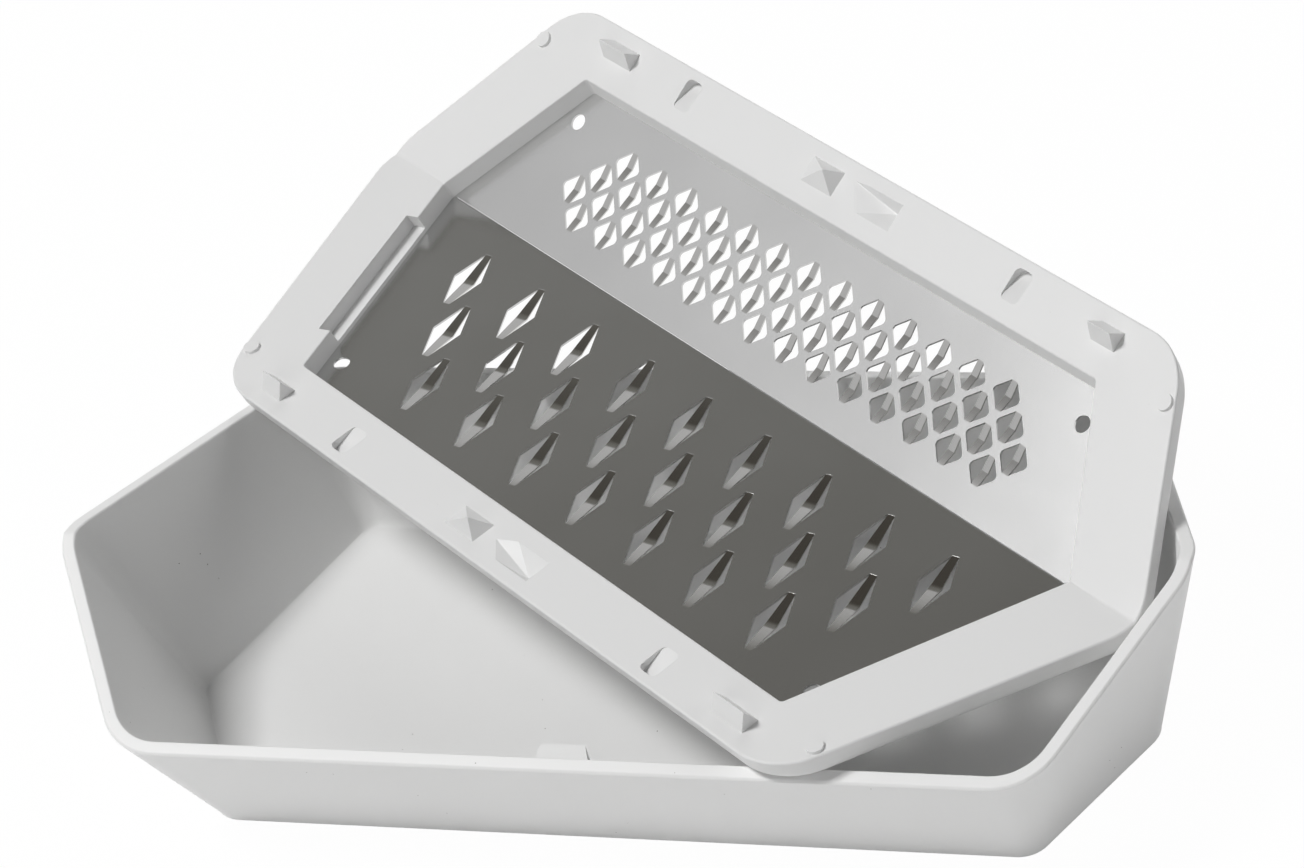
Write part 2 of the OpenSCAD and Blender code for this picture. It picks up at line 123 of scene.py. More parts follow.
def handling_marks():
    tree = bpy.data.node_groups.new("handling marks", "ShaderNodeTree")
    for label, value in (("Cloud scale", 18.0), ("Cloud strength", 0.1), ("Dust scale", 420.0),
                         ("Dust amount", 0.1), ("Base roughness", 0.4)):
        socket = tree.interface.new_socket(label, in_out="INPUT", socket_type="NodeSocketFloat")
        socket.default_value = value
    for label in ("Roughness", "Dust mask"):
        tree.interface.new_socket(label, in_out="OUTPUT", socket_type="NodeSocketFloat")
    gin, gout = tree.nodes.new("NodeGroupInput"), tree.nodes.new("NodeGroupOutput")
    place = add_node(tree, "ShaderNodeTexCoord", (-900, 0))
    cloud = add_node(tree, "ShaderNodeTexNoise", (-650, 150), Detail=3.0)
    spread = add_node(tree, "ShaderNodeMath", (-450, 150), operation="MULTIPLY_ADD")
    wire(tree, (place.outputs["Object"], cloud.inputs["Vector"]),
         (gin.outputs["Cloud scale"], cloud.inputs["Scale"]), (cloud.outputs["Fac"], spread.inputs[0]),
         (gin.outputs["Cloud strength"], spread.inputs[1]), (gin.outputs["Base roughness"], spread.inputs[2]),
         (spread.outputs[0], gout.inputs["Roughness"]))
    speck = add_node(tree, "ShaderNodeTexVoronoi", (-650, -150), Randomness=1.0)
    small = add_node(tree, "ShaderNodeMath", (-450, -150), operation="LESS_THAN")
    rare = add_node(tree, "ShaderNodeTexNoise", (-650, -350), Scale=DUST_PATCHES)
    pick = add_node(tree, "ShaderNodeMath", (-450, -350), operation="GREATER_THAN")
    pick.inputs[1].default_value = DUST_RARE
    both = add_node(tree, "ShaderNodeMath", (-250, -200), operation="MULTIPLY")
    wire(tree, (place.outputs["Object"], speck.inputs["Vector"]),
         (gin.outputs["Dust scale"], speck.inputs["Scale"]), (speck.outputs["Distance"], small.inputs[0]),
         (gin.outputs["Dust amount"], small.inputs[1]), (place.outputs["Object"], rare.inputs["Vector"]),
         (rare.outputs["Fac"], pick.inputs[0]), (small.outputs[0], both.inputs[0]),
         (pick.outputs[0], both.inputs[1]), (both.outputs[0], gout.inputs["Dust mask"]))
    return tree


MARKS = handling_marks()


def add_marks(tree, scale, strength, rough, dust):
    """Put the group in a material and fill its named inputs."""
    marks = add_node(tree, "ShaderNodeGroup", (-700, 0))
    marks.node_tree = MARKS
    for label, value in (("Cloud scale", scale), ("Cloud strength", strength),
                         ("Base roughness", rough), ("Dust amount", dust)):
        marks.inputs[label].default_value = value
    return marks


print("marks group inputs:", [s.name for s in MARKS.interface.items_tree if s.in_out == "INPUT"])

# %% [markdown]
# ## White moulded plastic
# The tray and the frame are one satin white plastic, made in two copies whose base colours differ only as
# painted shade: the frame's copy is darker. Its skin is not a mirror: a very fine spark-eroded texture from the
# mould breaks the highlights, and cooling leaves the walls a little wavy. One small bump carries both.

# %% Plastic
PLASTIC_IOR, PLASTIC_ROUGH = 1.49, 0.40
DUST_COLOR = (0.16, 0.14, 0.12)
WAVE_SHARE = 8.0  # the height of the wave over that of the grain


def plastic(name, color, dust_amount):
    mat, tree, skin = new_material(name)
    skin.inputs["IOR"].default_value = PLASTIC_IOR
    marks = add_marks(tree, scale=22.0, strength=0.12, rough=PLASTIC_ROUGH, dust=dust_amount)
    dust, _, _, dusty = mix_color(tree, (-350, 200), color, DUST_COLOR)
    place = add_node(tree, "ShaderNodeTexCoord", (-950, -350))
    grain = add_node(tree, "ShaderNodeTexNoise", (-700, -350), Scale=2600.0, Detail=2.0)
    wave = add_node(tree, "ShaderNodeTexNoise", (-700, -550), Scale=14.0, Detail=1.0)
    total = add_node(tree, "ShaderNodeMath", (-500, -400), operation="MULTIPLY_ADD")
    total.inputs[1].default_value = WAVE_SHARE
    bump = add_node(tree, "ShaderNodeBump", (-300, -350), Strength=0.12, Distance=0.06 * MM)
    wire(tree, (marks.outputs["Dust mask"], dust), (dusty, skin.inputs["Base Color"]),
         (marks.outputs["Roughness"], skin.inputs["Roughness"]),
         (place.outputs["Object"], grain.inputs["Vector"]), (place.outputs["Object"], wave.inputs["Vector"]),
         (wave.outputs["Fac"], total.inputs[0]), (grain.outputs["Fac"], total.inputs[2]),
         (total.outputs[0], bump.inputs["Height"]), (bump.outputs["Normal"], skin.inputs["Normal"]))
    return mat


# One plastic in two copies: the frame's base colour is darker than the tray's as painted shade. The dust
# amounts differ for real.
TRAY_PLASTIC = plastic("tray white plastic", (0.80, 0.80, 0.795), dust_amount=0.055)
FRAME_PLASTIC_PAINTED_SHADE = plastic("frame white plastic, painted shade", (0.745, 0.745, 0.742), dust_amount=0.02)
print("plastics:", TRAY_PLASTIC.name, "and", FRAME_PLASTIC_PAINTED_SHADE.name)

# %% [markdown]
# ## How the grater lies
# The grater lies askew on the tray: moved, turned, tipped along its length and tilted across it.
# The steel needs the turn too, because its rolling lines follow the grater.

# %% Lay of the grater, in millimetres and degrees
LAY_AT = (11.79, 60.98, 41.04)
LAY_TURN, LAY_TIP, LAY_TILT = -34.71, 0.9, 13.51
LAY = (Matrix.Translation(Vector(LAY_AT) * MM)
       @ Euler([radians(a) for a in (LAY_TILT, LAY_TIP, LAY_TURN)], "XYZ").to_matrix().to_4x4())
print("the grater lies at", LAY_AT, "turned", LAY_TURN)

# %% [markdown]
# ## Rolled stainless steel
# The sheet is rolled along its length. Rolling leaves hair-fine lines, so that noise is stretched
# along the length, and a finer one beside it gives the satin sparkle. Both drive a very shallow
# bump. The pressed straps are smoother, because the punch has burnished them.

# %% Steel
LINE_STRETCH = 40


def steel(name, color, rough, bump_strength, spark):
    mat, tree, skin = new_material(name)
    skin.inputs["Metallic"].default_value = 1.0
    skin.inputs["Base Color"].default_value = (*color, 1)
    marks = add_marks(tree, scale=30.0, strength=0.06, rough=rough, dust=0.0)
    place = add_node(tree, "ShaderNodeTexCoord", (-1100, -300))
    stretch = add_node(tree, "ShaderNodeMapping", (-900, -300), vector_type="TEXTURE")
    stretch.inputs["Rotation"].default_value = (0, 0, radians(LAY_TURN))
    stretch.inputs["Scale"].default_value = (1.0, 1 / LINE_STRETCH, 1 / LINE_STRETCH)
    lines = add_node(tree, "ShaderNodeTexNoise", (-700, -300), Scale=60.0, Detail=6.0, Roughness=0.7)
    sparkle = add_node(tree, "ShaderNodeTexNoise", (-700, -550), Scale=1500.0, Detail=2.0)
    heights = add_node(tree, "ShaderNodeMath", (-500, -400), operation="MULTIPLY_ADD")
    heights.inputs[1].default_value = spark
    bump = add_node(tree, "ShaderNodeBump", (-300, -300), Strength=bump_strength, Distance=0.02 * MM)
    wire(tree, (marks.outputs["Roughness"], skin.inputs["Roughness"]),
         (place.outputs["Object"], stretch.inputs["Vector"]),
         (stretch.outputs["Vector"], lines.inputs["Vector"]),
         (place.outputs["Object"], sparkle.inputs["Vector"]), (sparkle.outputs["Fac"], heights.inputs[0]),
         (lines.outputs["Fac"], heights.inputs[2]), (heights.outputs[0], bump.inputs["Height"]),
         (bump.outputs["Normal"], skin.inputs["Normal"]))
    return mat


SHEET_STEEL = steel("rolled stainless steel", (0.62, 0.62, 0.615), rough=0.2, bump_strength=0.35, spark=1.6)
STRAP_STEEL = steel("pressed stainless steel", (0.66, 0.655, 0.64), rough=0.1, bump_strength=0.2, spark=0.3)
print("steels:", SHEET_STEEL.name, "and", STRAP_STEEL.name)

# %% [markdown]
# ## The shared outline
# Tray and frame have the same six-sided outline: two peaks on the long axis, a narrow side and a
# wide side. The frame has it the other way round, a little larger. All rings of points below go
# round these corners, each corner an arc.

# %% Outline numbers, in millimetres
PEAK_X = 125.0
NEAR_X, NEAR_Y = 98.2, 48.6
FAR_X, FAR_Y = 95.4, 70.4
CORNER_R = 15.0
PEAK_H = 15.6
RIM_H, WALL, FLOOR_T = 36.1, 3.0, 3.1
BASE_IN, BASE_R = 14.0, 7.0
SHEET_DROP, FRAME_T = 5.0, 6.2
FRAME_OUT = 0.2
ARC_N = 8  # steps in each half of a corner's arc

RIM_HEX = [(PEAK_X, 0), (FAR_X, FAR_Y), (-FAR_X, FAR_Y),
           (-PEAK_X, 0), (-NEAR_X, -NEAR_Y), (NEAR_X, -NEAR_Y)]
TURNED_HEX = [(PEAK_X, 0), (NEAR_X, NEAR_Y), (-NEAR_X, NEAR_Y),
              (-PEAK_X, 0), (-FAR_X, -FAR_Y), (FAR_X, -FAR_Y)]
OPEN_HEX = [(104.8, 0), (83.7, 35.2), (-83.7, 35.2), (-104.8, 0), (-82.4, -56.5), (82.4, -56.5)]
NEAR_SLOPE, FAR_SLOPE = PEAK_H / NEAR_Y, PEAK_H / FAR_Y
NEAR_DEG, FAR_DEG = degrees(atan2(PEAK_H, NEAR_Y)), degrees(atan2(PEAK_H, FAR_Y))


def rim_z(y):
    """Height of the tray's rim, highest on the long axis."""
    return RIM_H + PEAK_H - (y * FAR_SLOPE if y > 0 else -y * NEAR_SLOPE)


def fold_z(y):
    """Height of the folded sheet over its fold."""
    return y * NEAR_SLOPE if y > 0 else -y * FAR_SLOPE


print("slopes of the two halves in degrees:", round(NEAR_DEG, 2), round(FAR_DEG, 2))

# %% Outlines set in
def inward(a, b):
    d = Vector(b) - Vector(a)
    return Vector((-d.y, d.x)).normalized()


def set_in(hexagon, e):
    """Move every edge of a six-sided outline inward by e."""
    out = []
    for i, v in enumerate(hexagon):
        p, q = inward(hexagon[i - 1], v), inward(v, hexagon[(i + 1) % 6])
        out.append(Vector(v) + e * (p + q) / (1 + p.dot(q)))
    return out


PLATE_HEX = [tuple(v) for v in set_in(TURNED_HEX, -FRAME_OUT)]
print("the frame's outline is", FRAME_OUT, "mm larger all round")

# %% Rings of points
def turns(hexagon, i, r):
    """Angles round one corner. At a peak the arc is split where it crosses the fold line."""
    p, q = -inward(hexagon[i - 1], hexagon[i]), -inward(hexagon[i], hexagon[(i + 1) % 6])
    start, sweep = degrees(atan2(p.y, p.x)), degrees(acos(min(1, p.dot(q))))
    mid = sweep / 2
    if i % 3 == 0:
        across = degrees(asin(-set_in(hexagon, r)[i].y / r))
        mid = ((across if i == 0 else 180 - across) - start) % 360
    first = [start + mid * k / ARC_N for k in range(ARC_N)]
    return first + [start + mid + (sweep - mid) * k / ARC_N for k in range(ARC_N + 1)]


def ring(hexagon, r, e, z, turn_like=None, turn_r=None):
    """A ring with corner radius r, drawn e inside its outline, at height z or z(y)."""
    out = []
    centres = set_in(hexagon, r)
    for i in range(6):
        for a in turns(turn_like or hexagon, i, turn_r or r):
            x, y = centres[i].x + (r - e) * cos(radians(a)), centres[i].y + (r - e) * sin(radians(a))
            out.append(Vector((x, y, z(y) if callable(z) else z)))
    return out


def blend_rings(a, b, t):
    return [p.lerp(q, t) for p, q in zip(a, b)]


def fillet(r, n):
    """Inset and rise of the steps of a quarter round, from the flat to the upright."""
    return [(r * (1 - sin(radians(90 * k / n))), r * (1 - cos(radians(90 * k / n)))) for k in range(n + 1)]


print("points in a ring:", len(ring(RIM_HEX, CORNER_R, 0, 0)))

# %% [markdown]
# ## From points to meshes
# Most bodies are skins over rings of points. A prism is the same with only two rings. What is a
# point cloud instead gets the tightest hull. All faces are turned outward.

# %% Mesh to object
BODY_SMOOTH_DEG, SMALL_SMOOTH_DEG = 32, 20


def mark_sharp(bm, smooth_deg):
    """Smooth faces, with edges over the angle left sharp."""
    for f in bm.faces:
        f.smooth = True
    for e in bm.edges:
        e.smooth = len(e.link_faces) == 2 and e.calc_face_angle(0) < radians(smooth_deg)


def mesh_object(name, bm, matrix=None, smooth_deg=None):
    """Make an object of the mesh being built, its faces outward, moved and smoothed if asked."""
    if matrix is not None:
        bmesh.ops.transform(bm, matrix=matrix, verts=bm.verts)
    bmesh.ops.recalc_face_normals(bm, faces=bm.faces)
    if smooth_deg is not None:
        mark_sharp(bm, smooth_deg)
    mesh = bpy.data.meshes.new(name)
    bm.to_mesh(mesh)
    bm.free()
    obj = bpy.data.objects.new(name, mesh)
    bpy.context.collection.objects.link(obj)
    return obj


print("edges stay sharp from", BODY_SMOOTH_DEG, "degrees on bodies,", SMALL_SMOOTH_DEG, "on small forms")

# %% Skins and hulls
def skin_rings(rings, closed=False):
    """Faces between each ring and the next. An open skin gets a cap at both ends."""
    bm = bmesh.new()
    rows = [[bm.verts.new(Vector(p) * MM) for p in r] for r in rings]
    n = len(rows[0])
    for low, high in list(zip(rows, rows[1:])) + ([(rows[-1], rows[0])] if closed else []):
        for i in range(n):
            j = (i + 1) % n
            bm.faces.new((low[i], low[j], high[j], high[i]))
    if not closed:
        bm.faces.new(rows[0][::-1])
        bm.faces.new(rows[-1])
    return bm


def hull(name, points, matrix):
    """The tightest closed form round a few points."""
    bm = bmesh.new()
    for p in points:
        bm.verts.new(Vector(p) * MM)
    found = bmesh.ops.convex_hull(bm, input=bm.verts)
    inner = [v for v in found["geom_interior"] if isinstance(v, bmesh.types.BMVert)]
    bmesh.ops.delete(bm, geom=inner, context="VERTS")
    return mesh_object(name, bm, matrix)


print("form makers:", [f.__name__ for f in (skin_rings, hull)])

# %% [markdown]
# ## Adding, cutting and shading
# Small forms join a body by Booleans, and each result is baked to a plain mesh at once. Large
# flats then share corners with tiny roundings, so each corner gets its normal worked out: the
# larger face rules, and the facets of the small forms keep their crisp look.

# %% Bake and combine
def bake_modifiers(obj):
    """Turn an object with modifiers into a plain mesh, keeping its name."""
    deps = bpy.context.evaluated_depsgraph_get()
    mesh = bpy.data.meshes.new_from_object(obj.evaluated_get(deps))
    obj.modifiers.clear()
    obj.data = mesh


def combine(target, others, operation):
    """Add or cut other meshes and drop them. Faces that come from them get the second material."""
    while len(target.data.materials) < 2:
        target.data.materials.append(None)
    for other in others:
        other.data.materials.append(None)
        other.data.materials.append(None)
        for f in other.data.polygons:
            f.material_index = 1
        mod = target.modifiers.new("form", "BOOLEAN")
        mod.operation = operation
        mod.solver = "EXACT"
        mod.object = other
    bake_modifiers(target)
    for other in others:
        bpy.data.objects.remove(other, do_unlink=True)


print("modifier helpers:", [f.__name__ for f in (bake_modifiers, combine)])

# %% Corner normals
BLEND_DEG, FACET_DEG = 29, 8


def shade(obj):
    """Give each corner its normal. Faces that meet at less than the angle blend, and the larger one
    rules, so flats stay flat up to their roundings. Faces with the second material are facets."""
    mesh = obj.data
    faces = list(mesh.polygons)
    normals = [f.normal.copy() for f in faces]
    weights = [(f.area / MM ** 2) ** 2 for f in faces]
    facet = [f.material_index == 1 for f in faces]
    meet = [[] for _ in mesh.vertices]
    for f in faces:
        for v in f.vertices:
            meet[v].append(f.index)
    wide, narrow = cos(radians(BLEND_DEG)), cos(radians(FACET_DEG))
    corners = []
    for f in faces:
        i = f.index
        for v in f.vertices:
            total = normals[i] * weights[i]
            for j in meet[v]:
                if j != i and normals[i].dot(normals[j]) > (narrow if facet[i] or facet[j] else wide):
                    total = total + normals[j] * weights[j]
            corners.append(total.normalized() if total.length > 0 else normals[i])
    mesh.polygons.foreach_set("use_smooth", [True] * len(faces))
    mesh.normals_split_custom_set(corners)
    mesh.update()


print("faces blend below", BLEND_DEG, "degrees, facets below", FACET_DEG)

# %% [markdown]
# ## The catch tray
# The tray is a tub: a small flat base, walls that lean out, and a rim that rises to a peak at each
# end. The rim is folded along the long axis but the base is flat, so the end walls are ruled
# surfaces. Rings from base to rim make that twist by themselves.

# %% Catch tray
RIM_ROUND, BASE_ROUND, FLOOR_ROUND = 0.55, 1.6, 1.4
RIM_STEPS = ((0, 0), (0.07, 0.21), (0.27, 0.44), (RIM_ROUND, RIM_ROUND))  # inset and rise at the rim
FLOOR_STEPS = ((0.25, 0.28), (0.9, 0))  # inset and rise at the floor, as shares of its rounding
WALL_N = 10  # steps up a wall


def foot(e, z):
    """A ring of the base, whose turns follow those of the rim."""
    return ring(set_in(RIM_HEX, BASE_IN), BASE_R, e, z, RIM_HEX, CORNER_R)


def rim_ring(e, rise):
    return ring(RIM_HEX, CORNER_R, e, lambda y: rim_z(y) - RIM_ROUND + rise)


def catch_tray():
    out_foot, in_foot = foot(0, BASE_ROUND), foot(WALL, FLOOR_T)
    rings = [foot(e, z) for e, z in fillet(BASE_ROUND, 4)]
    rings += [blend_rings(out_foot, rim_ring(0, 0), k / WALL_N) for k in range(1, WALL_N)]
    rings += [rim_ring(e, rise) for e, rise in RIM_STEPS]
    rings += [rim_ring(WALL - e, rise) for e, rise in RIM_STEPS[::-1]]
    steps = [k / WALL_N for k in range(WALL_N - 1, 0, -1)] + [FLOOR_ROUND / (RIM_H - FLOOR_T)]
    rings += [blend_rings(in_foot, rim_ring(WALL, 0), t) for t in steps]
    rings += [foot(WALL + e * FLOOR_ROUND, FLOOR_T + rise * FLOOR_ROUND) for e, rise in FLOOR_STEPS]
    return mesh_object("Catch_Tray", skin_rings(rings), smooth_deg=BODY_SMOOTH_DEG)


tray = catch_tray()
print("tub faces:", len(tray.data.polygons))

# %% [markdown]
# Inside the front wall sits one little wedge, level with the rim. Its right end flares toward the
# wall, and its back leans with the wall, so that nothing shows outside.

# %% Rest wedge
WEDGE_REACH, WEDGE_H, WEDGE_L, WEDGE_FLARE, WEDGE_X = 4.8, 7.0, 9.6, 2.8, -0.4
WEDGE_BELLY = 0.8  # how far it reaches at half its height, as a share


def rest_wedge():
    root, half = WALL / 2, WEDGE_L / 2
    side = [(0, 0), (root + WEDGE_REACH, 0), (root + WEDGE_REACH * WEDGE_BELLY, -WEDGE_H / 2),
            (WEDGE_H * BASE_IN / RIM_H, -WEDGE_H)]
    left = [-half for _ in side]
    right = [half + WEDGE_FLARE * (1 - max(0, y - root) / WEDGE_REACH) for y, _ in side]
    rows = [[(x + WEDGE_X, y + root - NEAR_Y, z + RIM_H - RIM_ROUND) for x, (y, z) in zip(end, side)]
            for end in (left, right)]
    return mesh_object("rest wedge", skin_rings(rows), smooth_deg=SMALL_SMOOTH_DEG)


combine(tray, [rest_wedge()], "UNION")
shade(tray)
print("tray faces:", len(tray.data.polygons))

# %% [markdown]
# ## The grater's own frame
# The grater is drawn level, fold along x, and then laid askew on the tray in one move. Doing the
# move in the mesh keeps the object at the origin, where a pattern stays still on the part.

# %% Places on the grater
def lay(obj):
    obj.data.transform(LAY)
    obj.data.update()
    return obj


def slope_matrix(side, d=0.0):
    """The plane of one half, d over the sheet's face. Side is 1 for the narrow half, else -1."""
    deg = NEAR_DEG if side > 0 else -FAR_DEG
    return Matrix.Rotation(radians(deg), 4, "X") @ Matrix.Translation((0, 0, d * MM))


def on_face(side, x, y):
    """A place on the frame's upper face, over the point x, y of the plan."""
    a = radians(NEAR_DEG if side > 0 else FAR_DEG)
    along = (y / cos(a) + SHEET_DROP * sin(a)) * side
    return slope_matrix(side, SHEET_DROP * cos(a)) @ Matrix.Translation((x * MM, along * MM, 0))


def outward(side, x, y):
    """On the face, with +y of the form pointing at the outer edge and x kept."""
    return on_face(side, x, y) @ Matrix.Diagonal((1, side, 1, 1))


print("the frame's face is over the fold by", round(on_face(1, 0, 0).translation.z / MM, 2), "mm")

# %% [markdown]
# ## The grater frame
# The frame is one moulding with a six-sided window. Its lower edge is well rounded for the hand,
# and on its upper face sit small ribs, pegs and sockets. The body is skinned from rings. Ribs,
# pegs and sockets are added or cut, and one bevel softens their edges. The pips and dents come
# after the bevel, because the real ones are crisp.

# %% Frame body
HAND_ROUND, TOP_ROUND = 2.6, 0.6
WINDOW_R, WINDOW_ROUND = 1.2, 0.3


def frame_ring(hexagon, r, e, z):
    return ring(hexagon, r, e, lambda y: fold_z(y) + z)


def frame_body():
    top, low = SHEET_DROP, SHEET_DROP - FRAME_T
    rings = [frame_ring(PLATE_HEX, CORNER_R, e, low + z) for e, z in fillet(HAND_ROUND, 7)]
    rings += [frame_ring(PLATE_HEX, CORNER_R, e, top - z) for e, z in fillet(TOP_ROUND, 4)[::-1]]
    rings += [frame_ring(OPEN_HEX, WINDOW_R, -e, top - z) for e, z in fillet(WINDOW_ROUND, 4)]
    rings += [frame_ring(OPEN_HEX, WINDOW_R, -e, low + z) for e, z in ((0, WINDOW_ROUND), (WINDOW_ROUND, 0))]
    return mesh_object("Grater_Frame", skin_rings(rings, closed=True), smooth_deg=BODY_SMOOTH_DEG)


frame_obj = frame_body()
print("frame body faces:", len(frame_obj.data.polygons))

# %% [markdown]
# The small forms have the same sizes on both halves and differ only in their places. A socket is a
# peg's form with play, let into the face, with one more corner that leads the peg in.

# %% Small forms, in millimetres
SUNK = 0.3  # how deep an added form starts in the face
OVER = 0.2  # how high a cutter starts over the face
PLAY = 0.4
PEG_L, PEG_W, PEG_H, SOCKET_DEEP = 10.7, 6.4, 4.1, 3.0
RIDGE_L, RIDGE_W, RIDGE_AT = 0.4, 0.2, (2.6, 1.1)
LEAD_X, LEAD_W = -10.35, 0.2
RIB_LONG, RIB_SHORT, RIB_W, RIB_H = 9.4, 6.6, 4.7, 4.35
RIB_TOP = (-1.85, -1.95)
PIP_R, PIP_TOP_R, PIP_H = 2.0, 1.8, 1.4
DENT_W, DENT_L, DENT_R, DENT_DEEP, DENT_X, DENT_OUT = 5.0, 7.4, 1.4, 2.5, 53.8, 0.5
DENT_OVER = 2.0  # how high its cutter stands over the face


def block(l, w, x, y, z):
    """The four corners of a rectangle round x, y at height z."""
    return [(x + sx * l / 2, y + sy * w / 2, z) for sx, sy in ((-1, -1), (1, -1), (1, 1), (-1, 1))]


def peg(matrix):
    corners = block(PEG_L, PEG_W, 0, 0, -SUNK) + block(RIDGE_L, RIDGE_W, *RIDGE_AT, PEG_H)
    return hull("peg", corners, matrix)


def socket_cutter(matrix, lead_y):
    corners = block(PEG_L + PLAY, PEG_W + PLAY, 0, 0, OVER) + block(RIDGE_L, RIDGE_W, *RIDGE_AT, -SOCKET_DEEP)
    return hull("socket", corners + block(LEAD_W, LEAD_W, LEAD_X, lead_y, OVER), matrix)


def rib(length, matrix):
    outline = [(0, -SUNK), (RIB_TOP[0], RIB_H), (RIB_TOP[1], RIB_H), (-RIB_W, -SUNK)]
    ends = [[(x, y, z) for y, z in outline] for x in (-length / 2, length / 2)]
    return mesh_object("rib", skin_rings(ends), matrix)


def dent_cutter(matrix):
    """A ramp-shaped recess: a round-cornered column cut off by a slope."""
    w, l, r = DENT_W / 2, DENT_L / 2, DENT_R
    plan = [(sx * (w - r) + r * cos(radians(a)), sy * (l - r) + r * sin(radians(a)))
            for sx, sy, first in ((1, 1, 0), (-1, 1, 90), (-1, -1, 180), (1, -1, 270))
            for a in range(first, first + 91, 15)]
    low = [(x, y, -DENT_DEEP * (y + l) / DENT_L) for x, y in plan]
    return hull("dent", low + [(x, y, DENT_OVER) for x, y in plan], matrix)


def pip_form(matrix):
    bm = bmesh.new()
    bmesh.ops.create_cone(bm, cap_ends=True, segments=32, radius1=PIP_R * MM, radius2=PIP_TOP_R * MM,
                          depth=PIP_H * MM, matrix=matrix)
    return mesh_object("pip", bm)


print("pegs are", PEG_L, "mm long, sockets", round(PEG_L + PLAY, 2), "mm")

# %% [markdown]
# In one end wall of the window there is a shallow rebate that opens upward. Its cutter follows the
# wall and stops at two measured places along it.

# %% Rebate
REBATE_FROM, REBATE_TO = 10.7, 46.0  # from the fold, square to it
REBATE_OVER, REBATE_DEEP, REBATE_LOW, REBATE_HIGH = 1, 3, 1, 20


def rebate_cutter():
    a, b = Vector(OPEN_HEX[3]), Vector(OPEN_HEX[4])
    n = inward(a, b)
    p, q = a + (b - a) * REBATE_FROM / abs(b.y), a + (b - a) * REBATE_TO / abs(b.y)
    plan = [p + REBATE_OVER * n, q + REBATE_OVER * n, q - REBATE_DEEP * n, p - REBATE_DEEP * n]
    ends = [[(v.x, v.y, fold_z(v.y) + z) for v in plan] for z in (REBATE_LOW, REBATE_HIGH)]
    return mesh_object("rebate", skin_rings(ends))


print("the rebate is", round(REBATE_TO - REBATE_FROM, 1), "mm long, square to the fold")

# %% [markdown]
# Now the forms go to their places on both halves, and the body takes them up in four steps.

# %% Place the small forms
# rib feet, line of the pegs, pips, the two ribs, peg, socket and the socket's lead-in corner, per side
SIDES = {1: dict(rib=45.6, line=42.5, pip=(101.5, 38.0), long=-77.8, short=80.6,
                 peg=-7.6, socket=10.9, lead=2.8),
         -1: dict(rib=66.8, line=64.0, pip=(97.2, 60.2), long=77.8, short=-80.6,
                  peg=-10.9, socket=7.6, lead=-0.7)}
EDGE_SOFT, EDGE_STEPS, EDGE_FROM_DEG = 0.22, 3, 40

adds, cuts, late_adds, late_cuts = [], [], [], []
for side, at in SIDES.items():
    for x, long in ((at["long"], RIB_LONG), (at["short"], RIB_SHORT)):
        adds.append(rib(long, outward(side, x, at["rib"])))
    for s in (-1, 1):
        late_cuts.append(dent_cutter(outward(side, s * DENT_X, at["line"] + DENT_OUT)))
        late_adds.append(pip_form(on_face(side, s * at["pip"][0], at["pip"][1])))
    adds.append(peg(outward(side, at["peg"], at["line"])))
    cuts.append(socket_cutter(outward(side, at["socket"], at["line"]), at["lead"]))
cuts.append(rebate_cutter())
form_count = len(adds + cuts + late_adds + late_cuts)

combine(frame_obj, adds, "UNION")
combine(frame_obj, cuts, "DIFFERENCE")
soft = frame_obj.modifiers.new("soft edges", "BEVEL")
soft.width = EDGE_SOFT * MM
soft.segments = EDGE_STEPS
soft.limit_method = "ANGLE"
soft.angle_limit = radians(EDGE_FROM_DEG)
bake_modifiers(frame_obj)
combine(frame_obj, late_adds, "UNION")
combine(frame_obj, late_cuts, "DIFFERENCE")
shade(frame_obj)
lay(frame_obj)
print("small forms:", form_count, "frame faces:", len(frame_obj.data.polygons))

# %% [markdown]
# ## The grating sheet
# The sheet is 0.5 mm stainless steel, bent once. Each half is a flat outline with its openings, so
# a filled curve makes it: the first loop is the edge, the others are the holes. Each half is then
# turned up to its slope. A curve fills cleanly round many holes, where cutting them one by one
# would be slow.

# %% Openings
SHEET_T, SHEET_IN = 0.5, 6.0
COARSE = dict(pitch=19.74, first=15.67, row=13.79, counts=(9, 8, 7), turn=16,
              length=8.45, tip=1.65, peak=2.8, drop=1.1)
FINE = dict(pitch=10.45, first=10.96, row=5.18, counts=(14, 15, 14, 13), turn=0,
            length=3.46, tip=1.7, peak=1.9, drop=0.7)
COARSE_HALF_W, FINE_CORNER, STRAP_PLAY = 3.8, 1.1, 0.05
HOLE_R = 1.9
WELD = 0.001  # points nearer than this are one
FINE_HOLE_AT, COARSE_HOLE_AT = (83.2, 28.1), (81.0, 49.5)


def centres(kind, side):
    return [Vector(((k - (n - 1) / 2) * kind["pitch"], side * (kind["first"] + row * kind["row"])))
            for row, n in enumerate(kind["counts"]) for k in range(n)]


def coarse_hole():
    """A lozenge with its two points cut off to the strap's width."""
    w, a = COARSE["tip"] / 2 + STRAP_PLAY, COARSE["length"]
    return [(w, a), (-w, a), (-COARSE_HALF_W, 0), (-w, -a), (w, -a), (COARSE_HALF_W, 0)]


def fine_hole():
    """A square on its point, its two side corners rounded."""
    w, a, r = FINE["tip"] / 2 + STRAP_PLAY, FINE["length"], FINE_CORNER
    c = a + FINE["tip"] / 2 - r * sqrt(2)
    bend = [(c + r * cos(radians(15 * k)), r * sin(radians(15 * k))) for k in range(-3, 4)]
    return [(-w, -a), (w, -a)] + bend + [(w, a), (-w, a)] + [(-x, -y) for x, y in bend]


def round_hole(r, n=32):
    return [(r * cos(radians(360 * k / n)), r * sin(radians(360 * k / n))) for k in range(n)]


def placed(loop, at, turn=0):
    c, s = cos(radians(turn)), sin(radians(turn))
    return [(at[0] + x * c - y * s, at[1] + x * s + y * c) for x, y in loop]


print("teeth:", len(centres(COARSE, -1)), "coarse,", len(centres(FINE, 1)), "fine")

